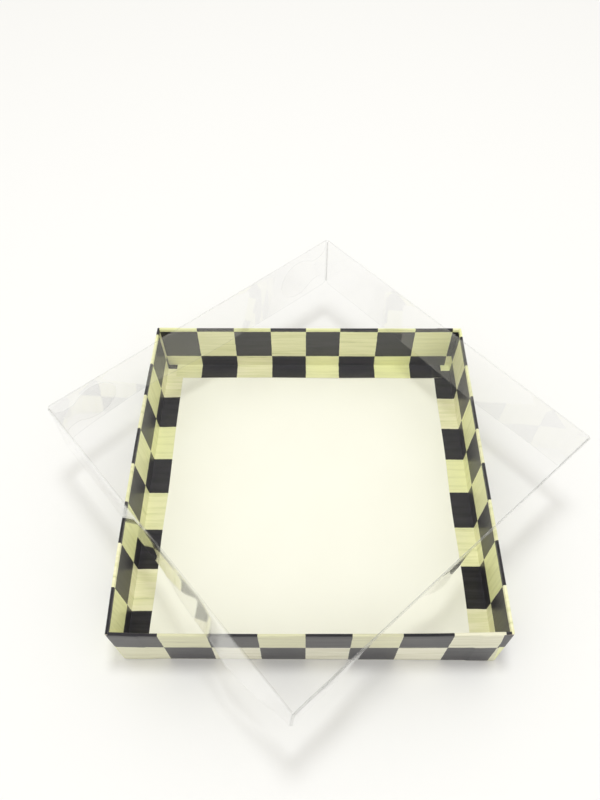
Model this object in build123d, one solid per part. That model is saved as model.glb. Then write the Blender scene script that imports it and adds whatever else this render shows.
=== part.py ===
from build123d import *
import os

# A gift box: a shallow square board tray wrapped in paper, with a raised floor,
# and a clear folded acetate lid that lies askew on the rim.
#
# Millimetres. X runs to the right, Y to the back and Z up.
# The origin is the centre of the tray's underside, on the surface that it stands on.

# Tray, over the paper
tray_width = 160.0
tray_depth = 160.0
tray_height = 35.7

# Boards and papers
wall_board = 0.7
bottom_board_thickness = 1.0
paper = 0.2
corner_tape_thickness = 0.1
corner_tape_reach = 12.0

# Raised floor
floor_height = 6.9
platform_thickness = 1.5
platform_gap = 0.3
riser_width = 12.0

# How the wrapping paper is cut and turned
corner_flap = 12.0
flap_gap = 0.3
neat_margin = 0.8
wide_margin_top = 4.2
wide_margin_bottom = 0.8
side_floor_strip = 9.8
end_floor_strip = 10.4
end_strip_cut = 5.7
under_turn = 12.0
mitre_gap = 0.5
base_paper_inset = 2.5

# Lid
acetate = 0.35
lid_clearance = 0.8
lid_skirt = 30.7
fold_radius = 0.4
skirt_corner_radius = 1.5
tab_head_radius = 11.2
tab_reach = 31.0
tab_root = 27.0
tab_root_fillet = 6.5
tab_neck = 13.0
tab_neck_fillet = 3.0
tab_glue = 0.1
tab_glue_radius = 8.0

# How the lid lies on the rim
lid_turn = 41.3
lid_shift_x = 1.8
lid_shift_y = -0.7

# Heights, from the table up
board_bottom = 2 * paper
board_floor = board_bottom + bottom_board_thickness
board_top = tray_height - paper
platform_top = floor_height - paper
platform_bottom = platform_top - platform_thickness

# Faces of the side boards, and of the end boards, which lie under a flap and a wrap
side_out = tray_width / 2 - paper - corner_tape_thickness
side_in = side_out - wall_board
end_out = tray_depth / 2 - 2 * paper - corner_tape_thickness
end_in = end_out - wall_board

# Faces that the papers lie against
side_paper = side_out + corner_tape_thickness
end_paper = end_out + corner_tape_thickness


def block(x0, x1, y0, y1, z0, z1):
    """A box between two corners."""
    size = (x1 - x0, y1 - y0, z1 - z0)
    centre = ((x0 + x1) / 2, (y0 + y1) / 2, (z0 + z1) / 2)
    return Pos(*centre) * Box(*size)


def slab(half_x, half_y, z0, z1):
    """A sheet centred on the tray."""
    return block(-half_x, half_x, -half_y, half_y, z0, z1)


def folded(points, thickness):
    """The section of a sheet that lies on the right of a line of points."""
    line = Polyline(*points)
    edge = offset(line, amount=thickness, kind=Kind.ARC, side=Side.RIGHT, closed=True)
    return make_face(edge.edges())


def at_four_corners(shape):
    """Copies of a shape made at the corner of +X and +Y, by the signs of their corners."""
    return {
        (1, 1): shape,
        (-1, 1): mirror(shape, about=Plane.YZ),
        (1, -1): mirror(shape, about=Plane.XZ),
        (-1, -1): Rot(0, 0, 180) * shape,
    }


def bottom_board():
    """The board that the walls stand on."""
    return slab(side_out, end_out, board_bottom, board_floor)


def end_wall(side):
    """The front wall for side -1, or the back wall for side 1."""
    wall = block(-side_out, side_out, end_in, end_out, board_floor, board_top)
    return wall if side > 0 else mirror(wall, about=Plane.XZ)


def side_wall(side):
    """The left wall for side -1, or the right wall for side 1, between the end walls."""
    wall = block(side_in, side_out, -end_in, end_in, board_floor, board_top)
    return wall if side > 0 else mirror(wall, about=Plane.YZ)


def corner_tape(side, end):
    """Gummed tape round one outside corner of the boards."""
    out_x = side_out + corner_tape_thickness
    out_y = end_out + corner_tape_thickness
    reach_x = side_out - corner_tape_reach
    reach_y = end_out - corner_tape_reach
    on_side = block(side_out, out_x, reach_y, out_y, board_bottom, board_top)
    on_end = block(reach_x, out_x, end_out, out_y, board_bottom, board_top)
    return at_four_corners(on_side + on_end)[(side, end)]


def riser_across(y):
    """A board strip that runs from side to side under the platform."""
    half = side_in - platform_gap
    return block(-half, half, y - riser_width / 2, y + riser_width / 2, board_floor, platform_bottom)


def riser_along(side):
    """A board strip that runs along a side wall, between the end risers."""
    outer = side_in - platform_gap
    half_y = end_in - platform_gap - riser_width
    strip = block(outer - riser_width, outer, -half_y, half_y, board_floor, platform_bottom)
    return strip if side > 0 else mirror(strip, about=Plane.YZ)


def riser_middle():
    """The strip that carries the middle of the platform, between the side risers."""
    half = side_in - platform_gap - riser_width
    half_y = riser_width / 2
    return slab(half, half_y, board_floor, platform_bottom)


def platform_board():
    """The raised floor's board."""
    return slab(side_in - platform_gap, end_in - platform_gap, platform_bottom, platform_top)


def platform_lining():
    """The white paper on top of the platform."""
    return slab(side_in - platform_gap, end_in - platform_gap, platform_top, floor_height)


def under_strip(half_length, out_face):
    """A paper strip turned under the bottom, with mitred ends, along X at the back."""
    inner = out_face - under_turn
    outline = Polyline(
        (-half_length, out_face),
        (half_length, out_face),
        (half_length - under_turn, inner),
        (-half_length + under_turn, inner),
        close=True,
    )
    return extrude(Pos(0, 0, paper) * make_face(outline), amount=paper)


def side_wrap(side):
    """Paper over a side wall, with a flap that turns round each corner."""
    half_flap = tray_depth / 2 - 2 * paper
    outside = Plane.XZ * folded(
        [(side_paper, paper), (side_paper, board_top), (side_in, board_top)], paper
    )
    inside = Plane.XZ * folded(
        [(side_out, board_top), (side_in, board_top), (side_in, floor_height)], paper
    )
    wrap = extrude(outside, amount=half_flap, both=True)
    wrap += extrude(inside, amount=end_in, both=True)

    strip_in = side_in - paper - side_floor_strip
    strip_half = end_in - paper
    wrap += block(strip_in, side_in, -strip_half, strip_half, floor_height, floor_height + paper)

    under_half = half_flap - mitre_gap
    wrap += Rot(0, 0, -90) * under_strip(under_half, side_paper)

    flap_in = tray_width / 2 - corner_flap
    flap_top = board_top - flap_gap
    flap = block(flap_in, tray_width / 2, half_flap, half_flap + paper, board_bottom, flap_top)
    wrap += flap
    wrap += mirror(flap, about=Plane.XZ)
    return wrap if side > 0 else mirror(wrap, about=Plane.YZ)


def end_wrap(side):
    """Paper over the front or the back, lapped over the flaps and over the side strips.

    It is cut neatly at its left end, and short and on the slant at its right end.
    """
    lap = tray_width / 2 - corner_flap
    lapped_paper = end_paper + paper
    flat = Plane.YZ * folded([(end_paper, paper), (end_paper, board_top), (end_in, board_top)], paper)
    lapped = Plane.YZ * folded(
        [(lapped_paper, paper), (lapped_paper, board_top), (end_paper, board_top)], paper
    )
    outside = extrude(flat, amount=lap, both=True)
    outside += extrude(lapped, amount=tray_width / 2, both=True) - slab(
        lap - paper, tray_depth, 0, tray_height
    )

    left = neat_margin - tray_width / 2
    right_top = tray_width / 2 - wide_margin_top
    right_bottom = tray_width / 2 - wide_margin_bottom
    cut = Polyline((left, 0), (right_bottom, 0), (right_top, tray_height), (left, tray_height), close=True)
    outside = outside & extrude(Plane.XZ * make_face(cut), amount=tray_depth, both=True)

    inside = Plane.YZ * folded([(end_paper, board_top), (end_in, board_top), (end_in, floor_height)], paper)
    wrap = outside + extrude(inside, amount=side_in - paper, both=True)

    strip_in = end_in - paper - end_floor_strip
    strip_lap = side_in - paper - side_floor_strip
    strip_half = side_in - paper - end_strip_cut
    low = floor_height + paper
    wrap += block(-strip_lap, strip_lap, strip_in, end_in, floor_height, low)
    raised = block(-strip_half, strip_half, strip_in, end_in, low, low + paper)
    wrap += raised - slab(strip_lap - paper, tray_depth, low, low + paper)

    wrap += under_strip(min(-left, right_bottom), end_paper)
    return wrap if side > 0 else mirror(wrap, about=Plane.XZ)


def base_paper():
    """The plain paper that closes the underside."""
    half_x = tray_width / 2 - base_paper_inset
    half_y = tray_depth / 2 - base_paper_inset
    return slab(half_x, half_y, 0, paper)


# The lid is made in its own frame, with its skirts' lower edges at height 0,
# and then turned and set on the rim.
# The two tabbed skirts are the ones across X; their tabs lie inside the other two.
fold_outer = fold_radius + acetate
lid_x = tray_width / 2 + lid_clearance + 2 * acetate + tab_glue
lid_y = tray_depth / 2 + lid_clearance + 2 * acetate + tab_glue
tab_face = lid_y - acetate - tab_glue
tab_fold_x = lid_x - fold_outer
tab_fold_y = tab_face - fold_outer
tab_head_away = tab_reach - tab_head_radius
lid_corners = {"left": (-1, 1), "back": (1, 1), "right": (1, -1), "front": (-1, -1)}


def channel(half_width, half_length):
    """The lid's top with two skirts, bent along two fold lines, with rounded free corners."""
    corners = [(-half_width, 0), (-half_width, lid_skirt), (half_width, lid_skirt), (half_width, 0)]
    outer = FilletPolyline(*corners, radius=fold_outer)
    section = make_face(outer.edges() + Line(corners[-1], corners[0]).edges())
    inner_half = half_width - acetate
    inner_top = lid_skirt - acetate
    inner_corners = [(-inner_half, 0), (-inner_half, inner_top), (inner_half, inner_top), (inner_half, 0)]
    inner = FilletPolyline(*inner_corners, radius=fold_radius)
    section -= make_face(inner.edges() + Line(inner_corners[-1], inner_corners[0]).edges())
    bent = extrude(Plane.XZ * section, amount=half_length, both=True)
    free_corners = bent.edges().filter_by(Axis.X).group_by(Axis.Z)[0]
    return fillet(free_corners, skirt_corner_radius)


def ring_quarter():
    """The section of the acetate where it bends from a skirt into a tab."""
    sector = Circle(fold_outer) - Circle(fold_radius)
    return sector & Pos(fold_outer / 2, fold_outer / 2) * Rectangle(fold_outer, fold_outer)


def tab():
    """The tab at the corner of +X and +Y: a bend round the corner, a waisted neck and a round head."""
    middle = lid_skirt / 2
    bend = extrude(ring_quarter(), amount=tab_root)
    bend = Pos(tab_fold_x, tab_fold_y, middle - tab_root / 2) * bend
    neck = Pos(-tab_head_away / 2, middle) * Rectangle(tab_head_away, tab_neck)
    flat = neck + Pos(-tab_head_away, middle) * Circle(tab_head_radius)
    beside_head = flat.vertices().group_by(Axis.X)[-2]
    flat = fillet(beside_head, tab_neck_fillet)
    flat += Pos(-acetate / 2, middle) * Rectangle(acetate, tab_root)
    beside_root = flat.vertices().group_by(Axis.X)[-2].sort_by(Axis.Y)[1:-1]
    flat = fillet(beside_root, tab_root_fillet)
    flat = Plane((tab_fold_x, tab_face, 0), x_dir=(1, 0, 0), z_dir=(0, -1, 0)) * flat
    return bend + extrude(flat, amount=acetate)


def on_rim(shape):
    """Turn a piece of the lid and set it on the tray's rim."""
    return Pos(lid_shift_x, lid_shift_y, tray_height) * Rot(0, 0, lid_turn) * shape


def lid_sheet():
    """One folded sheet: the top, four skirts and four tabs."""
    sheet = channel(lid_x, tab_fold_y)
    sheet += Rot(0, 0, 90) * channel(lid_y, tab_fold_x)
    for one in at_four_corners(tab()).values():
        sheet += one
    return on_rim(sheet)


def tab_glue_pads():
    """The clear adhesive between each tab's head and its skirt."""
    centre = Plane((tab_fold_x - tab_head_away, tab_face, lid_skirt / 2), z_dir=(0, 1, 0))
    pad = extrude(centre * Circle(tab_glue_radius), amount=tab_glue)
    made = at_four_corners(pad)
    return {name: on_rim(made[corner]) for name, corner in lid_corners.items()}


def pieces():
    """Every piece of the box by its name."""
    end_riser = end_in - platform_gap - riser_width / 2
    made = {
        "bottom_board": bottom_board(),
        "front_wall_board": end_wall(-1),
        "back_wall_board": end_wall(1),
        "left_wall_board": side_wall(-1),
        "right_wall_board": side_wall(1),
        "corner_tape_front_left": corner_tape(-1, -1),
        "corner_tape_front_right": corner_tape(1, -1),
        "corner_tape_back_left": corner_tape(-1, 1),
        "corner_tape_back_right": corner_tape(1, 1),
        "riser_front": riser_across(-end_riser),
        "riser_back": riser_across(end_riser),
        "riser_left": riser_along(-1),
        "riser_right": riser_along(1),
        "riser_middle": riser_middle(),
        "platform_board": platform_board(),
        "platform_lining": platform_lining(),
        "wrap_left": side_wrap(-1),
        "wrap_right": side_wrap(1),
        "wrap_front": end_wrap(-1),
        "wrap_back": end_wrap(1),
        "base_paper": base_paper(),
        "lid_sheet": lid_sheet(),
    }
    for name, pad in tab_glue_pads().items():
        made["tab_glue_" + name] = pad
    return made


os.makedirs("parts", exist_ok=True)
for name, solid in pieces().items():
    export_step(solid, "parts/" + name + ".step")
    print(name, len(solid.solids()), round(solid.volume, 2))
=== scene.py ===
"""Acetate gift box, dressed.

A shallow square board tray wrapped in chequered paper, with a raised white floor, and a clear
folded acetate lid that lies askew on the tray's rim.

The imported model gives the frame: metres, X to the right, Y to the back and Z up, from the middle
of the tray's underside. Papers and acetate are drawn flat in millimetres, cut, scored and folded,
and scaled to metres at the end.
"""

from __future__ import annotations

import functools
import logging
import math
from abc import ABC, abstractmethod
from dataclasses import dataclass, field
from enum import Enum
from typing import Any, Callable, Iterable, Sequence

import bmesh
import bpy
from mathutils import Matrix, Vector, noise


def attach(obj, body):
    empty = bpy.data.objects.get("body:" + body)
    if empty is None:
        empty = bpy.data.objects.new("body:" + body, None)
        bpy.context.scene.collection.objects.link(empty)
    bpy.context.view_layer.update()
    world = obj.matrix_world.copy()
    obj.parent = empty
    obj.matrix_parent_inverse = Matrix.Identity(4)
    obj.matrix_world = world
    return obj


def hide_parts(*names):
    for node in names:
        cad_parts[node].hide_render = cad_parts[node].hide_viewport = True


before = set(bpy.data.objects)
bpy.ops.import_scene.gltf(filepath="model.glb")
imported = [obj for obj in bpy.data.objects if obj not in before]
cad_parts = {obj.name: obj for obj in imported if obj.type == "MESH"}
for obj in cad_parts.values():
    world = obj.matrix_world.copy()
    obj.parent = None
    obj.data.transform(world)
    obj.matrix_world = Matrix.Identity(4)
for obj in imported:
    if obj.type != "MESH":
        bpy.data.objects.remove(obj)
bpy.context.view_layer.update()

log = logging.getLogger("gift_box")

MM = 0.001
FLAT_MAP = "flat"

Tree = bpy.types.NodeTree
Socket = bpy.types.NodeSocket
Place = Callable[[float, float], Vector]
Colour = tuple[float, float, float, float]
# Where in a pattern a coat begins and is full, and its share at both
Ends = tuple[float, float, float, float]
WHITE: Colour = (1.0, 1.0, 1.0, 1.0)


# Small helpers


def linear(hex_colour: str) -> Colour:
    """Turn an sRGB hex colour to linear light.

    Args:
        hex_colour: Six hex digits after a #.

    Returns:
        Red, green, blue and an alpha of 1.
    """
    channels = [int(hex_colour[i : i + 2], 16) / 255 for i in (1, 3, 5)]
    lit = [c / 12.92 if c <= 0.04045 else ((c + 0.055) / 1.055) ** 2.4 for c in channels]
    return (lit[0], lit[1], lit[2], 1.0)


def add(tree: Tree, kind: str, inputs: dict | None = None, **settings: Any) -> Any:
    """Add a node with its settings and links.

    Args:
        tree: The node tree that gets the node.
        kind: The node's type, without the ShaderNode that it begins with.
        inputs: A value or another node's output for each named or numbered input.
        settings: The node's own properties.

    Returns:
        The new node's outputs.
    """
    node = tree.nodes.new(f"ShaderNode{kind}")
    for name, value in settings.items():
        setattr(node, name, value)
    for name, value in (inputs or {}).items():
        if isinstance(value, Socket):
            tree.links.new(value, node.inputs[name])
        else:
            node.inputs[name].default_value = value
    return node.outputs


def smooth(low: float, high: float, value: float) -> float:
    """Rise from 0 at low to 1 at high, level at both ends."""
    share = min(1.0, max(0.0, (value - low) / (high - low)))
    return share * share * (3 - 2 * share)


def wander(place: float, wavelength: float, seed: float) -> float:
    """A smooth wandering number from about -1 to 1 along a line."""
    return noise.noise(Vector((place / wavelength, seed, 0.37 * seed))) * 1.6


def spaced(low: float, high: float, step: float) -> list[float]:
    """Places strictly between two ends, about a step apart."""
    count = max(1, round((high - low) / step))
    return [low + (high - low) * i / count for i in range(1, count)]


# Finishes


class Finish(ABC):
    """How a material looks. One material is made for each finish and used by all its pieces."""

    name: str

    @functools.cache
    def material(self) -> bpy.types.Material:
        """Make the material on first use.

        Returns:
            The finish's material.
        """
        made = bpy.data.materials.new(self.name)
        made.use_nodes = True
        made.node_tree.nodes.clear()
        shader = self.shader(made.node_tree)
        add(made.node_tree, "OutputMaterial", {"Surface": shader})
        return made

    @abstractmethod
    def shader(self, tree: Tree) -> Socket:
        """Build the finish's nodes.

        Args:
            tree: The material's empty node tree.

        Returns:
            The shader output that goes to the surface.
        """

    @staticmethod
    def coats(
        tree: Tree, under: Colour | Socket, over: Iterable[tuple[Socket, Ends, str]]
    ) -> Colour | Socket:
        """Lay coats of colour over one another.

        Args:
            tree: The material's node tree.
            under: The lowest coat's colour.
            over: The pattern, the ends and the colour as hex of each coat over it.

        Returns:
            The colour that shows.
        """
        for pattern, ends, colour in over:
            share = add(tree, "MapRange", dict(enumerate((pattern, *ends))))[0]
            both = {"Factor": share, "A": under, "B": linear(colour)}
            under = add(tree, "Mix", both, data_type="RGBA")["Result"]
        return under


@dataclass(frozen=True)
class BrushPaintedPaper(Finish):
    """Acrylic brushed on cartridge paper in squares ruled by hand, then sealed.

    The eye gets satin squares of ivory and near black, edges that wander a little, a tone of its own
    in each square, and brush drag along the sheet in both colours.
    """

    name: str = "brush_painted_paper"
    ivory: str = "#f3f5b8"
    cream: str = "#f5f2cb"
    ivory_thin: str = "#dddfa2"
    ivory_drag: str = "#8e8e6f"
    black: str = "#29292c"
    black_thin: str = "#3d3a40"
    scuff: str = "#8d8a80"
    cream_ends: Ends = (0.25, 0.75, 0.0, 1.0)
    ivory_thin_ends: Ends = (0.45, 0.72, 0.0, 0.8)
    ivory_drag_ends: Ends = (0.66, 0.77, 0.0, 0.75)
    black_thin_ends: Ends = (0.35, 0.75, 0.0, 1.0)
    scuff_ends: Ends = (0.74, 0.80, 0.0, 0.6)
    shade_ends: Ends = (0.0, 1.0, 0.91, 1.0)
    rough_ends: Ends = (0.3, 0.8, 0.30, 0.44)
    square: float = 19.2 * MM
    ruling_feature: float = 55.5556 * MM
    ruling_wander: float = 0.7 * MM
    edge_feature: float = 3 * MM
    edge_wander: float = 0.35 * MM
    scuff_feature: float = 2.38095 * MM
    drag_length: float = 29.4118 * MM
    drag_width: float = 1.6129 * MM
    # Drawn coarser than the real 0.2 mm, which is too fine to show
    tooth: float = 0.8 * MM
    ior: float = 1.5

    def shader(self, tree: Tree) -> Socket:
        """Build the squares, the brush drag and the satin seal.

        Args:
            tree: The material's empty node tree.

        Returns:
            The shader output that goes to the surface.
        """
        sheet = add(tree, "UVMap", uv_map=FLAT_MAP)["UV"]
        ruled = self._wander(tree, sheet, self.ruling_feature, self.ruling_wander)
        ruled = self._wander(tree, ruled, self.edge_feature, self.edge_wander)
        squares = {"Vector": ruled, "Scale": (1 / self.square, 1 / self.square, 1.0)}
        cells = add(tree, "Mapping", squares)["Vector"]
        pale = add(tree, "TexChecker", {"Vector": cells, "Scale": 1.0})["Fac"]
        own = add(tree, "VectorMath", {0: cells}, operation="FLOOR")["Vector"]
        tone = add(tree, "TexWhiteNoise", {"Vector": own}, noise_dimensions="2D")
        drag = self._drag(tree, sheet, tone["Color"])
        rubbed = {"Vector": sheet, "Scale": 1 / self.scuff_feature, "Detail": 2.0}
        specks = add(tree, "TexNoise", rubbed)["Fac"]

        ivories = (
            (tone["Color"], self.cream_ends, self.cream),
            (drag, self.ivory_thin_ends, self.ivory_thin),
            (drag, self.ivory_drag_ends, self.ivory_drag),
        )
        blacks = (
            (drag, self.black_thin_ends, self.black_thin),
            (specks, self.scuff_ends, self.scuff),
        )
        black = self.coats(tree, linear(self.black), blacks)
        ivory = self.coats(tree, linear(self.ivory), ivories)
        both = {"Factor": pale, "A": black, "B": ivory}
        paint = add(tree, "Mix", both, data_type="RGBA")["Result"]
        lighter = dict(enumerate((tone["Value"], *self.shade_ends)))
        shaded = {0: paint, "Scale": add(tree, "MapRange", lighter)[0]}
        paint = add(tree, "VectorMath", shaded, operation="SCALE")["Vector"]

        teeth = {"Vector": sheet, "Scale": 1 / self.tooth, "Detail": 3.0}
        tooth = add(tree, "TexNoise", teeth)["Fac"]
        relief = add(tree, "Math", {0: tooth, 1: drag}, operation="ADD")[0]
        raised = {"Height": relief, "Strength": 0.35, "Distance": 0.06 * MM}
        bump = add(tree, "Bump", raised)["Normal"]
        rougher = dict(enumerate((drag, *self.rough_ends)))
        rough = add(tree, "MapRange", rougher)[0]
        seal = {"Base Color": paint, "Roughness": rough, "IOR": self.ior, "Normal": bump}
        return add(tree, "BsdfPrincipled", seal)["BSDF"]

    @staticmethod
    def _wander(tree: Tree, place: Socket, feature: float, reach: float) -> Socket:
        """Push a place about by a smooth noise.

        Args:
            tree: The material's node tree.
            place: The place on the sheet.
            feature: The size of the noise's features.
            reach: How far it pushes from one side to the other.

        Returns:
            The pushed place.
        """
        waves = {"Vector": place, "Scale": 1 / feature, "Detail": 1.0}
        cloud = {0: add(tree, "TexNoise", waves)["Color"], 1: (0.5, 0.5, 0.5)}
        centred = add(tree, "VectorMath", cloud, operation="SUBTRACT")["Vector"]
        push = {0: centred, 1: (reach, reach, 0.0), 2: place}
        return add(tree, "VectorMath", push, operation="MULTIPLY_ADD")["Vector"]

    def _drag(self, tree: Tree, sheet: Socket, own: Socket) -> Socket:
        """Brush drag: long fine streaks along the sheet, begun afresh in each square.

        Args:
            tree: The material's node tree.
            sheet: The place on the sheet.
            own: A colour of each square's own, which moves its streaks.

        Returns:
            The drag's depth.
        """
        begun = add(tree, "VectorMath", {0: own, 1: sheet}, operation="ADD")["Vector"]
        stretch = {"Vector": begun, "Scale": (1 / self.drag_length, 1 / self.drag_width, 1.0)}
        streaks = add(tree, "Mapping", stretch)["Vector"]
        hairs = {"Vector": streaks, "Scale": 1.0, "Detail": 4.0, "Roughness": 0.62}
        return add(tree, "TexNoise", hairs)["Fac"]


@dataclass(frozen=True)
class UncoatedPaper(Finish):
    """Uncoated paper or board: matt, with cloudy fibres and a fine tooth."""

    name: str
    colour: str
    fibre: str
    fleck: str = "#5a554e"
    # The flecks' share where they are densest
    flecks: float = 0.0
    cloud: float = 6 * MM
    # Drawn coarser than the real 0.2 mm, which is too fine to show
    tooth: float = 0.8 * MM
    roughness: float = 0.75

    def shader(self, tree: Tree) -> Socket:
        """Build the fibre clouds, the flecks and the tooth.

        Args:
            tree: The material's empty node tree.

        Returns:
            The shader output that goes to the surface.
        """
        place = add(tree, "TexCoord")["Object"]
        clouds = {"Vector": place, "Scale": 1 / self.cloud, "Detail": 6.0}
        cloud = add(tree, "TexNoise", clouds)["Fac"]
        pulp = {"Factor": cloud, "A": linear(self.colour), "B": linear(self.fibre)}
        paper = add(tree, "Mix", pulp, data_type="RGBA")["Result"]
        teeth = {"Vector": place, "Scale": 1 / self.tooth, "Detail": 3.0}
        tooth = add(tree, "TexNoise", teeth)["Fac"]
        if self.flecks:
            paper = self.coats(tree, paper, [(tooth, (0.62, 0.70, 0.0, self.flecks), self.fleck)])
        raised = {"Height": tooth, "Strength": 0.3, "Distance": 0.05 * MM}
        bump = add(tree, "Bump", raised)["Normal"]
        matt = {"Base Color": paper, "Roughness": self.roughness, "Normal": bump}
        return add(tree, "BsdfPrincipled", matt)["BSDF"]


@dataclass(frozen=True)
class ClearSheet(Finish):
    """Cast cellulose acetate, clear and polished by its rollers.

    The eye sees through it straight on and gets a mirror at a low angle; where it is cut, the plastic
    whitens and scatters a little light, which shows as a thin line. Along the creases the scatter is a
    dark grey: partly the creased plastic's own whitening, partly painted shade and a painted dark
    reflection of the bend.
    """

    name: str
    straight_on: float = 0.03
    low_angle: float = 1.0
    roughness: float = 0.03
    scatter_share: float = 0.0
    scatter_colour: str = "#c9c8c6"
    ripple: float = 0.0
    # Slow waves from the rollers
    ripple_feature: float = 45.4545 * MM

    def shader(self, tree: Tree) -> Socket:
        """Build the clear body, the angle's mirror and the whitened share.

        Args:
            tree: The material's empty node tree.

        Returns:
            The shader output that goes to the surface.
        """
        place = add(tree, "TexCoord")["Object"]
        waves = {"Vector": place, "Scale": 1 / self.ripple_feature, "Detail": 1.0}
        wave = add(tree, "TexNoise", waves)["Fac"]
        raised = {"Height": wave, "Strength": 1.0, "Distance": self.ripple}
        bump = add(tree, "Bump", raised)["Normal"]
        facing = add(tree, "LayerWeight", {"Blend": 0.5})["Facing"]
        glance = add(tree, "Math", {0: facing, 1: 5.0}, operation="POWER")[0]
        ends = {0: glance, 1: self.low_angle - self.straight_on, 2: self.straight_on}
        mirror = add(tree, "Math", ends, operation="MULTIPLY_ADD")[0]
        clear = add(tree, "BsdfTransparent", {"Color": WHITE})[0]
        polish = {"Color": WHITE, "Roughness": self.roughness, "Normal": bump}
        gloss = add(tree, "BsdfGlossy", polish)[0]
        sheet = add(tree, "MixShader", {0: mirror, 1: clear, 2: gloss})[0]
        if not self.scatter_share:
            return sheet
        scatter = {"Color": linear(self.scatter_colour)}
        grey_scatter = add(tree, "BsdfDiffuse", scatter)[0]
        return add(tree, "MixShader", {0: self.scatter_share, 1: sheet, 2: grey_scatter})[0]


CHEQUERED = BrushPaintedPaper()
# A darker, greyer copy of the chequered paper for the front wall only: its ivory and cream hold
# painted shade and a painted reflection of the pale floor
FRONT_SHADED_CHEQUERED = BrushPaintedPaper(
    "front_painted_shade_brush_painted_paper", ivory="#e4e3bb", cream="#f1eed8", ivory_thin="#d3d0b0"
)
PAPER_CORE = UncoatedPaper("cartridge_paper_core", "#f4f2ea", "#ebe8dc")
LINING = UncoatedPaper("white_lining_paper", "#fdfdf0", "#f9f8ea", cloud=25 * MM)
BASE_PAPER = UncoatedPaper("ivory_base_paper", "#ebe6d1", "#ddd7bf", cloud=9 * MM)
GREYBOARD = UncoatedPaper("greyboard", "#918a80", "#7f786e", cloud=3 * MM, flecks=0.7)
GUMMED_TAPE = UncoatedPaper("gummed_kraft_tape", "#b08a5e", "#9c774e", cloud=4 * MM, flecks=0.25)
ACETATE = ClearSheet("polished_acetate", ripple=0.02 * MM)
ACETATE_EDGE = ClearSheet("cut_acetate_edge", scatter_share=0.08, roughness=0.2)
# Its dark grey scatter along the bends is partly the creased plastic's whitening and partly painted
# shade and reflection of the bend
ACETATE_CREASE = ClearSheet("creased_acetate", scatter_share=0.08, scatter_colour="#85827f", roughness=0.2)
# It has nearly the acetate's index, so little light turns back where the two touch
GLUE = ClearSheet("clear_dried_adhesive", straight_on=0.004, low_angle=0.15, roughness=0.1)


# Flat sheets, cut, scored and folded


@dataclass(frozen=True)
class Corner:
    """A corner of a flat outline in millimetres, and the radius that it is cut to."""

    x: float
    y: float
    radius: float = 0.0

    def mirrored(self, across: int, up: int) -> Corner:
        """The same corner on another quarter of the sheet."""
        return Corner(self.x * across, self.y * up, self.radius)


@dataclass(frozen=True)
class Fold:
    """A fold across a sheet: how far along it lies, its turn in degrees to the left, its radius."""

    at: float
    turn: float
    radius: float

    @property
    def reach(self) -> float:
        """How far the bend reaches to each side of the fold."""
        return self.radius * math.tan(math.radians(abs(self.turn)) / 2)


@dataclass(frozen=True)
class FoldedLine:
    """The section of a folded sheet: a line that turns at each fold."""

    begin: float
    start: tuple[float, float]
    heading: float
    folds: tuple[Fold, ...]

    def at(self, along: float) -> tuple[Vector, Vector]:
        """Follow the line.

        Args:
            along: The distance along the flat sheet.

        Returns:
            The point that it comes to and the direction there.
        """
        point = Vector(self.start)
        angle = math.radians(self.heading)
        direction = Vector((math.cos(angle), math.sin(angle)))
        here = self.begin
        for fold in self.folds:
            bend = fold.at - fold.reach
            if along <= bend:
                break
            point = point + direction * (bend - here)
            left = Vector((-direction.y, direction.x))
            centre = point + left * math.copysign(fold.radius, fold.turn)
            share = min(1.0, (along - bend) / (2 * fold.reach))
            turned = Matrix.Rotation(math.radians(fold.turn) * share, 2)
            point = centre + turned @ (point - centre)
            direction = turned @ direction
            here = fold.at + fold.reach
            if share < 1:
                return point, direction
        return point + direction * (along - here), direction

    def scores(self) -> list[float]:
        """Where the flat sheet is cut across, so that each bend is round."""
        shares = (-1.0, -0.5, 0.0, 0.5, 1.0)
        return [fold.at + fold.reach * share for fold in self.folds for share in shares]


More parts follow.
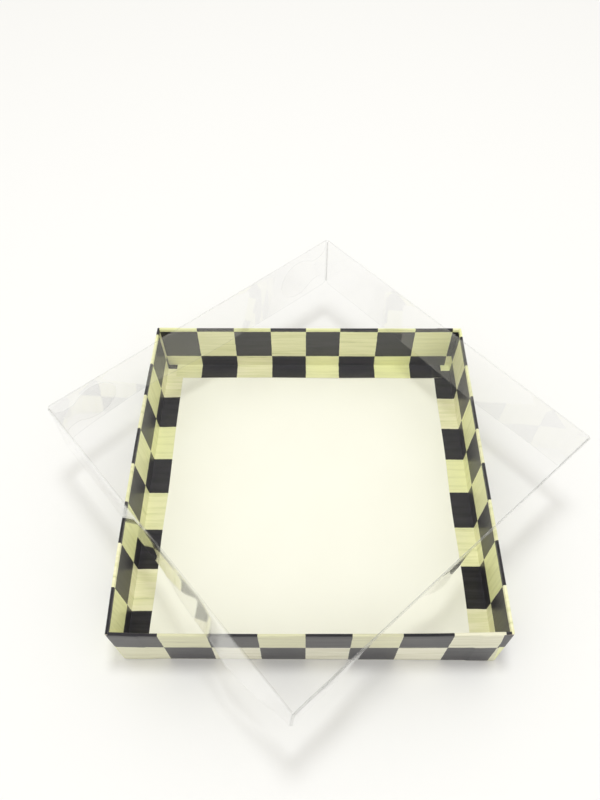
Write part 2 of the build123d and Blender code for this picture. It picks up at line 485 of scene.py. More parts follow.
class Sheet:
    """A flat sheet cut to an outline, then scored, folded and given its thickness."""

    def __init__(self, corners: Sequence[Corner], arc_step: float = 9.0) -> None:
        """Cut the sheet.

        Args:
            corners: The outline, in order, in millimetres.
            arc_step: The degrees that one edge of a rounded corner turns.
        """
        self.bm = bmesh.new()
        points = [self.bm.verts.new((corner.x, corner.y, 0)) for corner in corners]
        self.bm.faces.new(points)
        self.bm.normal_update()
        around = zip(points, corners, [points[-1], *points[:-1]], [*points[1:], points[0]])
        places = [(v, c, before.co.xy, after.co.xy) for v, c, before, after in around]
        for vert, corner, before, after in places:
            if corner.radius:
                turn = (vert.co.xy - before).angle(after - vert.co.xy)
                self._round(vert, corner.radius * math.tan(turn / 2), math.degrees(turn) / arc_step)
        bmesh.ops.remove_doubles(self.bm, verts=self.bm.verts, dist=0.002)

    def _round(self, vert: bmesh.types.BMVert, reach: float, segments: float) -> None:
        """Round one corner of the outline.

        Args:
            vert: The corner.
            reach: How far the round reaches along its edges.
            segments: How many edges the round has, at least.
        """
        bmesh.ops.bevel(
            self.bm,
            geom=[vert],
            affect="VERTICES",
            offset_type="OFFSET",
            offset=reach,
            segments=max(2, math.ceil(segments)),
            profile=0.5,
            material=-1,
        )

    def score(self, across: Iterable[float], up: Iterable[float]) -> None:
        """Divide the sheet along straight lines.

        Args:
            across: Places along X of lines that run along Y.
            up: Places along Y of lines that run along X.
        """
        for normal, places in (((1, 0, 0), across), ((0, 1, 0), up)):
            for place in places:
                bmesh.ops.bisect_plane(
                    self.bm,
                    geom=[*self.bm.verts, *self.bm.edges, *self.bm.faces],
                    dist=0.0005,
                    plane_co=Vector(normal) * place,
                    plane_no=normal,
                )

    def nudge(self, move: Callable[[float, float], tuple[float, float]]) -> None:
        """Move the flat sheet's points, for a cut made by hand."""
        for vert in self.bm.verts:
            vert.co.xy = move(vert.co.x, vert.co.y)

    def mark(self, slot: int, inside: Callable[[float, float], bool]) -> None:
        """Give a part of the flat sheet its own material slot.

        Args:
            slot: The slot's number.
            inside: Whether a flat point lies in the part.
        """
        for face in self.bm.faces:
            centre = face.calc_center_median()
            if inside(centre.x, centre.y):
                face.material_index = slot

    def print_map(self, across: Callable[[float], float], quarter_turn: bool) -> None:
        """Record where each point lies among the painted squares.

        Args:
            across: Gives the distance across even squares for a place along the sheet.
            quarter_turn: Whether the brush ran up the sheet, not along it.
        """
        layer = self.bm.loops.layers.uv.new(FLAT_MAP)
        for face in self.bm.faces:
            for loop in face.loops:
                x, y = across(loop.vert.co.x), loop.vert.co.y
                loop[layer].uv = (y * MM, x * MM) if quarter_turn else (x * MM, y * MM)

    def fold(self, place: Place, turned_over: bool = False) -> None:
        """Fold the sheet.

        Args:
            place: Gives the folded place of a flat point, in millimetres.
            turned_over: Whether the folding puts the painted face inwards.
        """
        for vert in self.bm.verts:
            vert.co = place(vert.co.x, vert.co.y)
        if turned_over:
            bmesh.ops.reverse_faces(self.bm, faces=self.bm.faces)

    def finish(
        self,
        name: str,
        finishes: Sequence[Finish],
        thickness: float,
        offset: float,
        matrix: Matrix | None = None,
    ) -> bpy.types.Object:
        """Make the object, in metres, with its thickness.

        Args:
            name: The piece's name.
            finishes: The finishes of its slots.
            thickness: The sheet's thickness in millimetres.
            offset: -1 to thicken behind the face, 0 to both sides.
            matrix: Where the folded sheet is set, in millimetres.

        Returns:
            The new object.
        """
        if matrix is not None:
            bmesh.ops.transform(self.bm, matrix=matrix, verts=self.bm.verts)
        bmesh.ops.scale(self.bm, vec=(MM, MM, MM), verts=self.bm.verts)
        for face in self.bm.faces:
            face.smooth = True
        for edge in self.bm.edges:
            edge.smooth = not edge.is_boundary
        mesh = bpy.data.meshes.new(name)
        self.bm.to_mesh(mesh)
        self.bm.free()
        for finish in finishes:
            mesh.materials.append(finish.material())
        piece = bpy.data.objects.new(name, mesh)
        bpy.context.scene.collection.objects.link(piece)
        thick = piece.modifiers.new("thickness", "SOLIDIFY")
        thick.thickness = thickness * MM
        thick.offset = offset
        thick.use_even_offset = True
        thick.material_offset_rim = 1
        thick.material_offset = 1 if offset < 0 else 0
        return piece


# The tray


class Wall(Enum):
    """A wall of the tray: the direction that it faces."""

    LEFT = (-1, 0)
    RIGHT = (1, 0)
    FRONT = (0, -1)
    BACK = (0, 1)

    @property
    def at_side(self) -> bool:
        """Whether this is the left or the right wall."""
        return self.value[0] != 0

    @property
    def turned_over(self) -> bool:
        """Whether folding a flat sheet on to this wall would put its face inwards."""
        return self in (Wall.LEFT, Wall.BACK)

    def point(self, along: float, out: float, up: float) -> Vector:
        """A point by its place along the wall, outwards and up."""
        across, back = self.value
        return Vector((out * across, along, up)) if self.at_side else Vector((along, out * back, up))


@dataclass(frozen=True)
class Bow:
    """How far an edge stands out along its length, through measured stations."""

    stations: tuple[tuple[float, float], ...]

    def at(self, along: float) -> float:
        """Follow a smooth curve through the stations.

        Args:
            along: The place along the edge, in millimetres.

        Returns:
            The edge's distance outwards there.
        """
        points = self.stations
        if along <= points[0][0]:
            return points[0][1]
        if along >= points[-1][0]:
            return points[-1][1]
        i = next(k for k in range(1, len(points)) if along <= points[k][0])
        (x0, y0), (x1, y1) = points[i - 1], points[i]
        slope0, slope1, width = self._slope(i - 1), self._slope(i), x1 - x0
        t = (along - x0) / width
        ends = y0 * (2 * t**3 - 3 * t**2 + 1) + y1 * (3 * t**2 - 2 * t**3)
        return ends + width * (slope0 * (t**3 - 2 * t**2 + t) + slope1 * (t**3 - t**2))

    def _slope(self, i: int) -> float:
        """The curve's slope at a station, level where it turns back.

        Args:
            i: The station's number.

        Returns:
            Millimetres outwards for each along.
        """
        if i in (0, len(self.stations) - 1):
            return 0.0
        (x0, y0), (x1, y1), (x2, y2) = self.stations[i - 1 : i + 2]
        before, after = (y1 - y0) / (x1 - x0), (y2 - y1) / (x2 - x1)
        return 0.0 if before * after <= 0 else 2 * before * after / (before + after)


@dataclass(frozen=True)
class Ruling:
    """The lines that the squares were ruled to by hand, along one wall."""

    lines: tuple[float, ...]
    first: int
    square: float = 19.2

    def across(self, along: float) -> float:
        """Turn the ruled squares to even ones.

        Args:
            along: The place along the wall, in millimetres.

        Returns:
            The distance across even squares.
        """
        places = self.lines
        k = min(max(sum(line <= along for line in places) - 1, 0), len(places) - 2)
        share = (along - places[k]) / (places[k + 1] - places[k])
        return (self.first + k + share) * self.square


@dataclass(frozen=True)
class WallBows:
    """How far the tops of the left and the front walls have bowed outwards."""

    left: Bow
    front: Bow
    rim: float = 35.7
    inner: float = 60.0
    outer: float = 77.5

    def move(self, point: Vector) -> Vector:
        """Move a point of the straight tray as its walls have bowed, in proportion to its height.

        Args:
            point: The point, in millimetres.

        Returns:
            Where it comes to.
        """
        share = max(0.0, point.z / self.rim)
        left = smooth(self.inner, self.outer, -point.x) * self.left.at(point.y)
        front = smooth(self.inner, self.outer, -point.y) * self.front.at(point.x)
        return point - Vector((left * share, front * share, 0.0))


@dataclass
class Wrap:
    """Chequered paper over one wall: under the bottom, up, over the rim, down and on to the floor."""

    wall: Wall
    ruling: Ruling
    seed: float
    section: FoldedLine
    corners: list[Corner]
    bows: WallBows
    paint: Finish = CHEQUERED
    paper: float = 0.2
    column: float = 5.0
    row: float = 5.0
    cut_unevenness: float = 0.35
    cut_reach: float = 4.0
    cut_wave: float = 34.0
    undulation: float = 0.06
    undulation_waves: tuple[float, float] = (26.0, 17.0)
    edge_lift: float = 0.25
    edge_reach: float = 5.0
    edge_wave: float = 21.0
    edge_loose: float = 0.35

    @property
    def name(self) -> str:
        """The piece's name, which is also its node's with a word more."""
        return f"wrap_{self.wall.name.lower()}_paper"

    @property
    def end(self) -> float:
        """The flat sheet's last place up, at the floor strip's edge."""
        return max(corner.y for corner in self.corners)

    def build(self) -> bpy.types.Object:
        """Cut, fold and dress the wrap.

        Returns:
            The new object.
        """
        sheet = Sheet(self.corners)
        reach = max(corner.x for corner in self.corners)
        columns = [*spaced(-reach, reach, self.column), *self.column_scores()]
        low = min(corner.y for corner in self.corners)
        sheet.score(columns, [*self.section.scores(), *spaced(low, self.end, self.row)])
        sheet.nudge(self.uneven_cut)
        sheet.print_map(self.ruling.across, quarter_turn=self.wall.at_side)
        sheet.fold(self.bowed_place, turned_over=self.wall.turned_over)
        piece = sheet.finish(self.name, [self.paint, PAPER_CORE], self.paper, offset=-1)
        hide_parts(f"wrap_{self.wall.name.lower()}")
        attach(piece, "tray")
        return piece

    def column_scores(self) -> list[float]:
        """Extra lines across the wrap's length, where it bends or steps."""
        return []

    def uneven_cut(self, along: float, up: float) -> tuple[float, float]:
        """The floor strip's edge as cut by hand."""
        near = smooth(self.end - self.cut_reach, self.end, up)
        return along, up + near * self.cut_unevenness * wander(along, self.cut_wave, self.seed)

    def ease(self, along: float, up: float) -> Vector:
        """How far the paper stands off what it covers.

        Args:
            along: The place along the wall.
            up: The place up the flat sheet.

        Returns:
            The distances out and up.
        """
        _, direction = self.section.at(up)
        facing = Vector((direction.y, -direction.x))
        long, high = self.undulation_waves
        wave = noise.noise(Vector((along / long, up / high, self.seed))) + 0.5
        lift = self.edge_lift * smooth(self.end - self.edge_reach, self.end, up)
        lift *= max(0.0, self.edge_loose + wander(along, self.edge_wave, self.seed + 3))
        return facing * (self.undulation * max(0.0, wave)) + Vector((0, lift))

    def place(self, along: float, up: float) -> Vector:
        """Where a flat point comes to on straight walls."""
        eased = self.section.at(up)[0] + self.ease(along, up)
        return self.wall.point(along, eased.x, eased.y)

    def bowed_place(self, along: float, up: float) -> Vector:
        """Where a flat point comes to on the walls as they have bowed."""
        return self.bows.move(self.place(along, up))


@dataclass
class SideWrap(Wrap):
    """A side wall's wrap, with a flap that turns round each corner."""

    corner_face: float = 79.8
    corner_radius: float = 0.5
    on_wall: float = 10.0
    flap_top: tuple[float, float] = (35.1, 35.4)

    @property
    def corner(self) -> FoldedLine:
        """The wrap's line in plan, from the middle of the wall round its corner."""
        fold = Fold(self.corner_face, 90, self.corner_radius)
        return FoldedLine(0.0, (self.section.at(self.on_wall)[0].x, 0.0), 90, (fold,))

    def column_scores(self) -> list[float]:
        """The bends round the two corners."""
        scores = self.corner.scores()
        return [*scores, *(-score for score in scores)]

    def place(self, along: float, up: float) -> Vector:
        """Where a flat point comes to, round the corner where the sheet is a flap.

        Args:
            along: The place along the wall.
            up: The place up the flat sheet.

        Returns:
            The point, in millimetres.
        """
        spot, _ = self.section.at(up)
        on_outside = smooth(-self.paper, 0.0, up) * (1 - smooth(*self.flap_top, up))
        bend = self.corner_face - self.corner_radius
        if abs(along) <= bend or not on_outside:
            return super().place(along, up)
        plan, _ = self.corner.at(abs(along))
        turned = Vector((spot.x + plan.x - self.corner.start[0], plan.y))
        flat = Vector((spot.x, abs(along)))
        mixed = flat.lerp(turned, on_outside)
        return self.wall.point(math.copysign(mixed.y, along), mixed.x, spot.y)


@dataclass
class EndWrap(Wrap):
    """The front's or the back's wrap, lapped over the flaps and over the side strips."""

    flap_lap: float = 68.0
    flap_climb: float = 1.4
    strip_lap: float = 69.0
    strip_climb: float = 1.2
    outside: tuple[float, float] = (78.7, 79.8)
    on_floor: tuple[float, float] = (65.1, 65.7)

    def column_scores(self) -> list[float]:
        """The steps up on to the flaps and on to the side strips."""
        laps = ((self.flap_lap, self.flap_climb, 0.1), (self.strip_lap, self.strip_climb, 0.2))
        return [side * (lap + by) for side in (1, -1) for lap, up, past in laps for by in (-up, past)]

    def place(self, along: float, up: float) -> Vector:
        """Where a flat point comes to, a paper's thickness out over the flaps and strips.

        Args:
            along: The place along the wall.
            up: The place up the flat sheet.

        Returns:
            The point, in millimetres.
        """
        spot, _ = self.section.at(up)
        over_flap = smooth(self.flap_lap - self.flap_climb, self.flap_lap, abs(along))
        over_strip = smooth(self.strip_lap - self.strip_climb, self.strip_lap, abs(along))
        out = self.paper * over_flap * smooth(*self.outside, spot.x) * (up > -self.paper)
        rise = self.paper * over_strip * smooth(*self.on_floor, up)
        return super().place(along, up) + self.wall.point(0.0, out, rise)


@dataclass
class WallBoard:
    """A wall's greyboard, bowed with the wall."""

    wall: Wall
    half_length: float
    outer: float
    bows: WallBows
    thickness: float = 0.7
    low: float = 1.4
    high: float = 35.5
    cell: float = 5.0

    def build(self) -> bpy.types.Object:
        """Cut the board, bow it and stand it in the wall.

        Returns:
            The new object.
        """
        half, low, high = self.half_length, self.low, self.high
        board = Sheet([Corner(-half, low), Corner(half, low), Corner(half, high), Corner(-half, high)])
        board.score(spaced(-half, half, self.cell), spaced(low, high, self.cell))
        board.fold(self.place, turned_over=self.wall.turned_over)
        side = self.wall.name.lower()
        finishes = [GREYBOARD, GREYBOARD]
        piece = board.finish(f"{side}_wall_greyboard", finishes, self.thickness, offset=-1)
        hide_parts(f"{side}_wall_board")
        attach(piece, "tray")
        return piece

    def place(self, along: float, up: float) -> Vector:
        """Where a point of the board's outer face comes to."""
        return self.bows.move(self.wall.point(along, self.outer, up))


@dataclass
class CornerTape:
    """Gummed tape round one outside corner of the boards, bowed with the walls."""

    across: int
    back: int
    bows: WallBows
    side_face: float = 79.8
    end_face: float = 79.6
    reach: float = 12.1
    bend_radius: float = 0.15
    thickness: float = 0.1
    low: float = 0.4
    high: float = 35.5
    cell: float = 5.0

    @property
    def corner(self) -> str:
        """The corner's name."""
        return f"{'back' if self.back > 0 else 'front'}_{'right' if self.across > 0 else 'left'}"

    @property
    def line(self) -> FoldedLine:
        """The tape's outer face in plan, from its edge on the end wall round to the side wall."""
        start = (self.side_face - self.reach, self.end_face)
        return FoldedLine(0.0, start, 0.0, (Fold(self.reach, -90, self.bend_radius),))

    def build(self) -> bpy.types.Object:
        """Cut the tape, bend it round its corner and bow it.

        Returns:
            The new object.
        """
        length, low, high = 2 * self.reach, self.low, self.high
        tape = Sheet([Corner(0, low), Corner(length, low), Corner(length, high), Corner(0, high)])
        columns = [*self.line.scores(), *spaced(0, length, self.cell)]
        tape.score(columns, spaced(low, high, self.cell))
        tape.fold(self.place, turned_over=self.across * self.back > 0)
        finishes = [GUMMED_TAPE, GUMMED_TAPE]
        piece = tape.finish(f"gummed_tape_{self.corner}", finishes, self.thickness, offset=-1)
        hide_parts(f"corner_tape_{self.corner}")
        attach(piece, "tray")
        return piece

    def place(self, along: float, up: float) -> Vector:
        """Where a point of the tape's outer face comes to."""
        plan, _ = self.line.at(along)
        return self.bows.move(Vector((plan.x * self.across, plan.y * self.back, up)))


@dataclass
class Tray:
    """The tray: boards, tapes, raised floor and papers."""

    outer_x: float = 80.0
    outer_y: float = 79.8
    rim: float = 35.5
    rim_width: float = 1.2
    inner_height: float = 28.6
    inner_lean: float = 1.7
    side_strip: float = 8.9
    end_strips: dict[Wall, float] = field(default_factory=lambda: {Wall.FRONT: 6.2, Wall.BACK: 9.1})
    under_turn: float = 12.2
    flap: float = 12.0
    fold_radius: float = 0.45
    lower_face: float = 0.2
    rulings: dict[Wall, Ruling] = field(
        default_factory=lambda: {
            Wall.FRONT: Ruling((-80.5, -59.6, -40.2, -20.4, -1.6, 16.6, 36.5, 56.4, 76.6), -1),
            Wall.BACK: Ruling((-80.5, -59.2, -39.6, -20.2, -1.6, 16.4, 36.2, 55.9, 75.5), -2),
            Wall.LEFT: Ruling((-80.6, -61.4, -42.0, -22.5, -3.1, 16.3, 35.9, 55.3, 75.0), -1),
            Wall.RIGHT: Ruling((-79.8, -59.8, -40.2, -21.0, -2.2, 16.5, 35.3, 54.8, 74.0), 0),
        }
    )
    bows: WallBows = WallBows(
        left=Bow(((-80, 0.2), (-60, 0.8), (-35, 1.2), (5, 1.35), (40, 0.9), (65, 0.3), (80, 0))),
        front=Bow(((-80, 0.9), (-62, 1.4), (-8, 1.25), (43, 0.9), (70, 0.3), (80, 0))),
    )
    side_board: float = 79.7
    side_board_half: float = 78.8
    end_board: float = 79.5

    def section(self, outer: float) -> FoldedLine:
        """The line that the painted face follows, from under the bottom to the floor.

        Args:
            outer: How far out the wall's painted face stands.

        Returns:
            The line, outwards and up.
        """
        down = self.rim + self.rim_width
        radius, lean = self.fold_radius, self.inner_lean
        turns = ((0.0, 90), (self.rim, 90), (down, 90 - lean), (down + self.inner_height, lean - 90))
        folds = tuple(Fold(at, turn, radius) for at, turn in turns)
        start = (outer - self.under_turn, self.lower_face)
        return FoldedLine(-self.under_turn, start, 0, folds)

    def side_corners(self) -> list[Corner]:
        """Cut a side wrap, with a flap at each end.

        Returns:
            The corners of its flat outline.
        """
        down = self.rim + self.rim_width
        inside = down + self.inner_height
        flap = 79.8 + self.flap
        half = [Corner(67.1, -self.under_turn), Corner(79.1, -0.2), Corner(79.1, 0.2)]
        half += [Corner(flap, 0.2), Corner(flap, 35.0), Corner(79.6, 35.0), Corner(79.6, down)]
        half += [Corner(78.6, down), Corner(77.8, inside), Corner(77.8, inside + self.side_strip)]
        return [*half, *(corner.mirrored(-1, 1) for corner in reversed(half))]

    def end_corners(self, strip: float) -> list[Corner]:
        """Cut an end wrap, neat at its left and on the slant at its right.

        Args:
            strip: The width of its strip on the floor.

        Returns:
            The corners of its flat outline.
        """
        down = self.rim + self.rim_width
        inside = down + self.inner_height
        lower = [Corner(67.2, -self.under_turn), Corner(79.2, -0.2)]
        upper = [Corner(78.8, self.rim + 0.1), Corner(78.8, down), Corner(78.0, inside - 0.2)]
        upper += [Corner(73.2, inside - 0.2), Corner(73.1, inside + strip)]
        left = [*lower, Corner(79.2, self.rim), *upper]
        mirrored = [corner.mirrored(-1, 1) for corner in reversed(left)]
        return [*lower, Corner(75.8, self.rim), *upper, *mirrored]

    def build(self) -> list[bpy.types.Object]:
        """Build the walls' boards, tapes and wraps, and dress the pieces that keep their own shape.

        Returns:
            The new objects.
        """
        corners = [(across, back) for across in (-1, 1) for back in (-1, 1)]
        pieces = [CornerTape(across, back, self.bows).build() for across, back in corners]
        for number, wall in enumerate(Wall):
            seed = 2.3 + 1.7 * number
            if wall.at_side:
                board = WallBoard(wall, self.side_board_half, self.side_board, self.bows)
                section, corners = self.section(self.outer_x), self.side_corners()
                wrap = SideWrap(wall, self.rulings[wall], seed, section, corners, self.bows)
            else:
                board = WallBoard(wall, self.side_board, self.end_board, self.bows)
                section, corners = self.section(self.outer_y), self.end_corners(self.end_strips[wall])
                # The front wrap gets the copy with painted shade and painted floor reflection
                paint = FRONT_SHADED_CHEQUERED if wall is Wall.FRONT else CHEQUERED
                wrap = EndWrap(wall, self.rulings[wall], seed, section, corners, self.bows, paint)
            pieces += [board.build(), wrap.build()]
        self.dress()
        return pieces

    def dress(self) -> None:
        """Give the other boards and the plain papers their finishes."""
        finishes = {"platform_lining": LINING, "base_paper": BASE_PAPER}
        finishes |= {part: GREYBOARD for part in ("bottom_board", "platform_board", "riser")}
        for name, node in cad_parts.items():
            for part, finish in finishes.items():
                if part in name:
                    for slot in node.material_slots:
                        slot.material = finish.material()


# The lid


class Skirt(Enum):
    """A skirt of the lid: the direction that it faces in the lid's own frame."""

    FRONT_LEFT = (-1, 0)
    BACK_RIGHT = (1, 0)
    BACK_LEFT = (0, 1)
    FRONT_RIGHT = (0, -1)


@dataclass
class Lid:
    """One folded acetate sheet: the top, four skirts, and four tabs glued inside two of them."""

    acetate: float = 0.35
    half_top: float = 80.85
    top_height: float = 30.525
    bend_radius: float = 0.575
    tabbed_half: float = 80.4
    plain_half: float = 80.8
    free_corner: float = 1.5
    tab_inset: float = 0.45
    tab_root: float = 27.0
    tab_root_fillet: float = 6.5
    tab_neck: float = 13.0
    tab_neck_fillet: float = 3.0
    tab_head_away: float = 19.8
    tab_head_radius: float = 11.2
    glue_radius: float = 8.0
    glue_thickness: float = 0.08
    glue_away: float = 0.05
    turn: float = 41.3
    shift: tuple[float, float] = (1.8, -0.7)
    rim_height: float = 35.7
    sag: float = 0.45
    sag_unevenness: float = 0.8
    sag_wave: float = 60.0
    sag_seed: float = 4.1
    corner_pull: float = 45.0
    bend_steps: int = 4
    cell: float = 5.0
    tab_cell: float = 4.0
    glue_cell: float = 3.0
    bows: dict[Skirt, Bow] = field(
        default_factory=lambda: {
            Skirt.FRONT_LEFT: Bow(
                ((-80.4, -0.3), (-62, 2.9), (-46, 4.3), (-38, 3.3), (-17, 2.6), (4, 0.5), (40, 0.2),
                 (80.4, 0))
            ),
            Skirt.BACK_LEFT: Bow(
                ((-80.8, 0), (-76, 1.7), (-50, 3.5), (-34, 4), (-20, 2.8), (10, 0.8), (80.8, 0))
            ),
            Skirt.BACK_RIGHT: Bow(
                ((-80.4, 0), (-58, 0), (-44, -0.7), (-25, -1.3), (-6, -0.7), (25, 0))
            ),
            Skirt.FRONT_RIGHT: Bow(
                ((-80.8, -2.2), (-74, -2.9), (-62, -2.6), (-52, -3.5), (-35, -4.6), (-11, -4.8),
                 (-4, -2.4), (1, -1.7), (5, -2.4), (10, -3.9), (18, -4.8), (42, -4.7), (50, -3.5),
                 (58, -4.6), (80.8, -4.8))
            ),
        }
    )

    @property
    def arc(self) -> float:
        """The flat length of a bend."""
        return self.bend_radius * math.pi / 2

    @property
    def depth(self) -> float:
        """The flat length of a skirt, from the start of its bend."""
        return self.arc + self.top_height - self.bend_radius

    @property
    def matrix(self) -> Matrix:
        """Where the lid lies on the rim."""
        turned = Matrix.Rotation(math.radians(self.turn), 4, "Z")
        return Matrix.Translation((*self.shift, self.rim_height)) @ turned

    def tab_corners(self) -> list[Corner]:
        """Draw half of a tab: a wide root, a waisted neck and a round head.

        Returns:
            Its corners, by their distance from the tab's middle and from the bend.
        """
        half, fillet = self.tab_neck / 2, self.tab_neck_fillet
        head = self.arc + self.tab_head_away
        between = self.tab_head_radius + fillet
        away = math.sqrt(between**2 - (half + fillet) ** 2)
        touch = Vector((half + fillet, -away)) / between
        along = Vector((-touch.y, touch.x))
        point = touch * self.tab_head_radius
        neck = point + along * ((half - point.x) / along.x)
        shoulder = point + along * ((self.tab_head_radius - point.x) / along.x)
        root = self.arc + self.acetate
        return [
            Corner(self.tab_root / 2, 0.0),
            Corner(self.tab_root / 2, root),
            Corner(half, root, self.tab_root_fillet),
            Corner(half, head + neck.y, fillet),
            Corner(self.tab_head_radius, head + shoulder.y, self.tab_head_radius),
            Corner(self.tab_head_radius, head + self.tab_head_radius, self.tab_head_radius),
        ]

    def quarter(self) -> list[Corner]:
        """Draw the sheet from the tabbed skirt's free edge to the plain skirt's.

        Returns:
            The corners of a quarter of its outline.
        """
        edge = self.half_top + self.depth
        middle = edge - (self.top_height + self.acetate / 2) / 2
        tab = self.tab_corners()
        outline = [Corner(edge, self.tabbed_half, self.free_corner)]
        for sign, part in ((1, tab), (-1, list(reversed(tab)))):
            outline += [Corner(middle + sign * c.x, self.tabbed_half + c.y, c.radius) for c in part]
        return [
            *outline,
            Corner(self.half_top, self.tabbed_half),
            Corner(self.half_top, self.half_top),
            Corner(self.plain_half, self.half_top),
            Corner(self.plain_half, edge, self.free_corner),
        ]

    def outline(self) -> list[Corner]:
        """Draw the whole sheet.

        Returns:
            The corners of its outline, counter-clockwise.
        """
        first = self.quarter()
        corners: list[Corner] = []
        for across, up in ((1, 1), (-1, 1), (-1, -1), (1, -1)):
            part = [corner.mirrored(across, up) for corner in first]
            corners += part if across * up > 0 else list(reversed(part))
        return corners

    def skirt_point(self, skirt: Skirt, along: float, down: float) -> Vector:
        """A point of a skirt.

        Args:
            skirt: The skirt.
            along: The place along it.
            down: The flat distance from the start of its bend.

        Returns:
            The point in the lid's frame, in millimetres.
        """
        flare = math.asin(self.bows[skirt].at(along) / (self.depth - self.arc))
        turn = math.pi / 2 - flare
        radius = self.arc / turn
        angle = turn * min(1.0, down / self.arc)
        straight = max(0.0, down - self.arc)
        out = self.half_top + radius * math.sin(angle) + straight * math.cos(turn)
        up = self.top_height - radius * (1 - math.cos(angle)) - straight * math.sin(turn)
        along += self.corner_shift(skirt, along) * straight / (self.depth - self.arc)
        x, y = skirt.value
        return Vector((out * x, along, up)) if x else Vector((along, out * y, up))

    def corner_shift(self, skirt: Skirt, along: float) -> float:
        """How far a skirt's free edge moves along itself where its neighbour pulls the corner.

        Args:
            skirt: The skirt.
            along: The place along it.

        Returns:
            The move, in millimetres.
        """
        sign = math.copysign(1, along)
        value = (0, int(sign)) if skirt.value[0] else (int(sign), 0)
        pull = self.bows[Skirt(value)].at(self.plain_half * (skirt.value[0] or skirt.value[1]))
        return sign * pull * smooth(self.corner_pull, self.tabbed_half, abs(along))

    def inside_skirt(self, skirt: Skirt, along: float, up: float, gap: float) -> float:
        """How far out a skirt's inside layer stands, at a height and a gap from its middle."""
        down = self.depth - up
        return abs(self.skirt_point(skirt, along, down).y) - gap

    def place(self, x: float, y: float) -> Vector:
        """Where a flat point of the sheet comes to.

        Args:
            x: Its place across the sheet.
            y: Its place up the sheet.

        Returns:
            The point in the lid's frame, in millimetres.
        """
        if abs(x) > self.half_top:
            skirt = Skirt.BACK_RIGHT if x > 0 else Skirt.FRONT_LEFT
            return self._tab_or_skirt(skirt, x, y)
        if abs(y) > self.half_top:
            skirt = Skirt.BACK_LEFT if y > 0 else Skirt.FRONT_RIGHT
            return self.skirt_point(skirt, x, abs(y) - self.half_top)
        share = (1 - (x / self.half_top) ** 2) * (1 - (y / self.half_top) ** 2)
        wave = noise.noise(Vector((x / self.sag_wave, y / self.sag_wave, self.sag_seed)))
        sag = share * self.sag * (1 + self.sag_unevenness * wave)
        return Vector((x, y, self.top_height - sag))

    def _tab_or_skirt(self, skirt: Skirt, x: float, y: float) -> Vector:
        """Where a point of a tabbed skirt or of one of its tabs comes to.

        Args:
            skirt: The tabbed skirt.
            x: The point's place across the flat sheet.
            y: Its place up the flat sheet.

        Returns:
            The point in the lid's frame, in millimetres.
        """
        down = abs(x) - self.half_top
        past = abs(y) - self.tabbed_half
        if past <= 0:
            return self.skirt_point(skirt, y, down)
        root = self.skirt_point(skirt, math.copysign(self.tabbed_half, y), down)
        angle = min(past, self.arc) / self.bend_radius
        along = abs(root.x) - self.bend_radius * (1 - math.cos(angle)) - max(0.0, past - self.arc)
        other = Skirt.BACK_LEFT if y > 0 else Skirt.FRONT_RIGHT
        flat = self.inside_skirt(other, math.copysign(along, x), root.z, self.tab_inset)
        out = abs(root.y) + (flat - abs(root.y)) * math.sin(angle)
        return Vector((math.copysign(along, x), math.copysign(out, y), root.z))

    def build(self) -> list[bpy.types.Object]:
        """Build the folded sheet and the adhesive under its tabs.

        Returns:
            The new objects.
        """
        sheet = Sheet(self.outline())
        bend = [self.arc * i / self.bend_steps for i in range(self.bend_steps + 1)]
        edge = self.half_top + self.depth
        lines = [self.half_top + part for part in bend]
        lines += spaced(self.half_top + self.arc, edge, self.cell)
        tab_lines = [self.tabbed_half + part for part in bend]
        tab_lines += spaced(self.tabbed_half + self.arc, edge + 1, self.tab_cell)
        tops = spaced(-self.plain_half, self.plain_half, self.cell)
        both = [*lines, *(-line for line in lines), *tops]
        sheet.score(both, [*both, *tab_lines, *(-line for line in tab_lines)])
        sheet.mark(2, self.creased)
        sheet.fold(self.place)
        finishes = [ACETATE, ACETATE_EDGE, ACETATE_CREASE]
        lid = sheet.finish("folded_acetate_sheet", finishes, self.acetate, 0, self.matrix)
        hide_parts("lid_sheet")
        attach(lid, "lid")
        return [lid, *(self.glue(*tab) for tab in self.tabs())]

    def creased(self, x: float, y: float) -> bool:
        """Whether a flat point lies in a bend.

        Args:
            x: Its place across the sheet.
            y: Its place up the sheet.

        Returns:
            True in the bends of the skirts and of the tabs.
        """
        bends = (abs(x) - self.half_top, abs(y) - self.half_top)
        if abs(x) > self.half_top and 0 < abs(y) - self.tabbed_half < self.arc:
            return True
        return any(0 < bend < self.arc for bend in bends) and min(abs(x), abs(y)) < self.half_top

    @staticmethod
    def tabs() -> list[tuple[str, int, int]]:
        """The corner that each tab is named for, and its signs in the lid's frame."""
        return [("left", -1, 1), ("back", 1, 1), ("right", 1, -1), ("front", -1, -1)]

    def glue(self, name: str, across: int, up: int) -> bpy.types.Object:
        """The round of clear adhesive between one tab's head and its skirt.

        Args:
            name: The corner that the tab is named for.
            across: The sign of the tab's place across the lid.
            up: The sign of its place up the lid.

        Returns:
            The new object.
        """
        half = self.glue_radius
        around = ((half, -half), (half, half), (-half, half), (-half, -half))
        dot = Sheet([Corner(x, y, half) for x, y in around])
        steps = spaced(-half, half, self.glue_cell)
        dot.score(steps, steps)
        skirt = Skirt.BACK_LEFT if up > 0 else Skirt.FRONT_RIGHT
        head = self.half_top - self.tab_head_away
        height = (self.top_height + self.acetate / 2) / 2
        gap = self.acetate / 2 + self.glue_away

        def place(x: float, y: float) -> Vector:
            """Where a point of the flat round comes to."""
            out = self.inside_skirt(skirt, across * (head + x), height + y, gap)
            return Vector((across * (head + x), up * out, height + y))

        dot.fold(place)
        finishes = [GLUE, GLUE]
        piece = dot.finish(f"tab_adhesive_{name}", finishes, self.glue_thickness, 0, self.matrix)
        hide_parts(f"tab_glue_{name}")
        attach(piece, "lid")
        return piece


# The studio


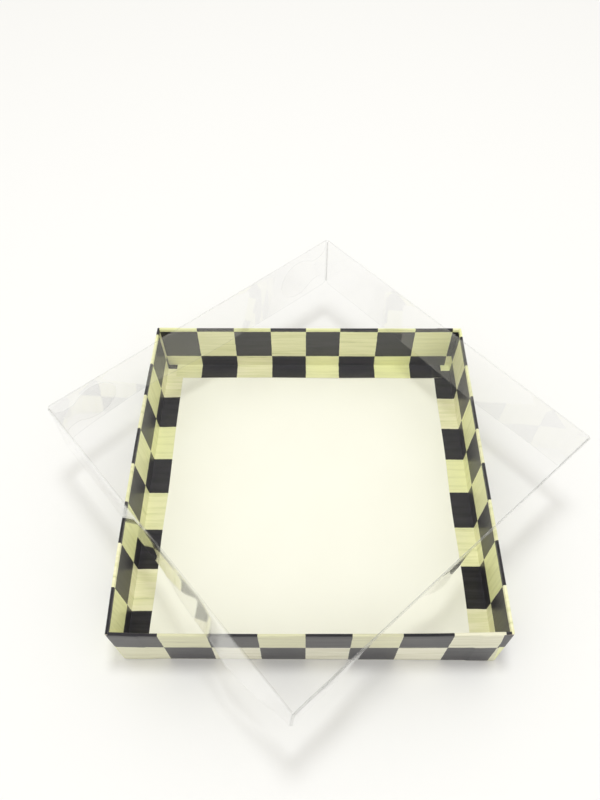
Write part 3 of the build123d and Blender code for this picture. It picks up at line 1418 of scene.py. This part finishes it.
@dataclass(frozen=True)
class StudioCard(Finish):
    """White matt card for the floor."""

    name: str = "white_studio_card"
    colour: str = "#f0f0ef"

    def shader(self, tree: Tree) -> Socket:
        """Build the plain white."""
        return add(tree, "BsdfDiffuse", {"Color": linear(self.colour)})[0]


@dataclass
class Studio:
    """The floor, the soft light and the camera at the photograph's place."""

    floor_half: float = 3.0
    sky: str = "#fffdf9"
    # Each a height of the direction looked in, from -1 to 1, and the light from there
    sky_low: tuple[float, float] = (0.0, 0.47)
    sky_high: tuple[float, float] = (0.7, 0.98)
    mirrored_low: tuple[float, float] = (0.38, 1.0)
    mirrored_high: tuple[float, float] = (0.96, 0.1)
    lamp: str = "#fcfeff"
    lamp_light: float = 0.30
    lamp_radius: float = 0.048
    lamp_place: tuple[float, float, float] = (0.004, -0.03, 0.58)
    focal_pixels: float = 688.0
    image_height: float = 800.0
    sensor: float = 36.0
    camera_place: tuple[float, float, float] = (-0.00221, -0.16405, 0.30632)
    camera_turns: tuple[float, float, float] = (0.0116, 0.6291, -0.0069)

    def build(self) -> None:
        """Set up the whole studio."""
        self.build_floor()
        self.build_sky()
        self.build_lamp()
        self.build_camera()
        scene = bpy.context.scene
        scene.view_settings.view_transform = "Standard"
        # Up to twelve clear faces lie one behind another where the skirts overlap
        scene.cycles.transparent_max_bounces = 32

    def build_floor(self) -> None:
        """The floor that the tray stands on."""
        bm = bmesh.new()
        bmesh.ops.create_grid(bm, x_segments=1, y_segments=1, size=self.floor_half)
        mesh = bpy.data.meshes.new("studio_floor")
        bm.to_mesh(mesh)
        bm.free()
        mesh.materials.append(StudioCard().material())
        floor = bpy.data.objects.new("studio_floor", mesh)
        bpy.context.scene.collection.objects.link(floor)

    def build_sky(self) -> None:
        """An even pale surround, white to the camera. In the acetate it dims from walls to ceiling."""
        world = bpy.data.worlds.new("studio_surround")
        bpy.context.scene.world = world
        world.use_nodes = True
        tree = world.node_tree
        tree.nodes.clear()
        path = add(tree, "LightPath")
        direction = add(tree, "TexCoord")["Generated"]
        height = add(tree, "SeparateXYZ", {"Vector": direction})["Z"]
        lit = self._graded(tree, self.sky, height, self.sky_low, self.sky_high)
        mirrored = self._graded(tree, "#ffffff", height, self.mirrored_low, self.mirrored_high)
        white = add(tree, "Background", {"Color": WHITE, "Strength": 1.0})[0]
        lighting = add(tree, "MixShader", {0: path["Is Glossy Ray"], 1: lit, 2: mirrored})[0]
        rays = {0: path["Is Camera Ray"], 1: path["Is Transmission Ray"]}
        seen = add(tree, "Math", rays, operation="MAXIMUM")[0]
        both = add(tree, "MixShader", {0: seen, 1: lighting, 2: white})[0]
        add(tree, "OutputWorld", {"Surface": both})

    @staticmethod
    def _graded(
        tree: Tree, colour: str, height: Socket, low: tuple[float, float], high: tuple[float, float]
    ) -> Socket:
        """A background whose strength changes between two heights.

        Args:
            tree: The world's node tree.
            colour: Its colour as hex.
            height: The height of the direction looked in, from -1 to 1.
            low: The lower height and the strength up to it.
            high: The upper height and the strength from it.

        Returns:
            The background.
        """
        ends = dict(enumerate((height, low[0], high[0], low[1], high[1])))
        strength = add(tree, "MapRange", ends)[0]
        glow = {"Color": linear(colour), "Strength": strength}
        return add(tree, "Background", glow)[0]

    def build_lamp(self) -> None:
        """A globe lamp close overhead, so shadows lean outwards, but as strong far off as near."""
        data = bpy.data.lights.new("overhead_globe", "POINT")
        data.shadow_soft_size = self.lamp_radius
        # The divisor that turns a lamp's power to its strength
        data.energy = 4 * math.pi**2
        data.use_nodes = True
        tree = data.node_tree
        tree.nodes.clear()
        even = add(tree, "LightFalloff", {"Strength": self.lamp_light})["Constant"]
        glow = {"Color": linear(self.lamp), "Strength": even}
        emission = add(tree, "Emission", glow)[0]
        add(tree, "OutputLight", {"Surface": emission})
        lamp = bpy.data.objects.new("overhead_globe", data)
        lamp.location = self.lamp_place
        lamp.visible_glossy = False
        bpy.context.scene.collection.objects.link(lamp)

    def build_camera(self) -> None:
        """The camera where the photograph was taken from."""
        data = bpy.data.cameras.new("photo_camera")
        data.sensor_width = self.sensor
        data.lens = self.focal_pixels / self.image_height * self.sensor
        camera = bpy.data.objects.new("photo_camera", data)
        camera.matrix_world = Matrix.Translation(self.camera_place)
        for turn, axis in zip(self.camera_turns, "ZXZ"):
            camera.matrix_world @= Matrix.Rotation(turn, 4, axis)
        bpy.context.scene.collection.objects.link(camera)
        bpy.context.scene.camera = camera


def main() -> None:
    """Build the studio, the tray and the lid, and report each piece."""
    logging.basicConfig(level=logging.INFO, format="%(message)s")
    Studio().build()
    for piece in [*Tray().build(), *Lid().build()]:
        log.info("%s: %d faces", piece.name, len(piece.data.polygons))


if __name__ == "__main__":
    main()
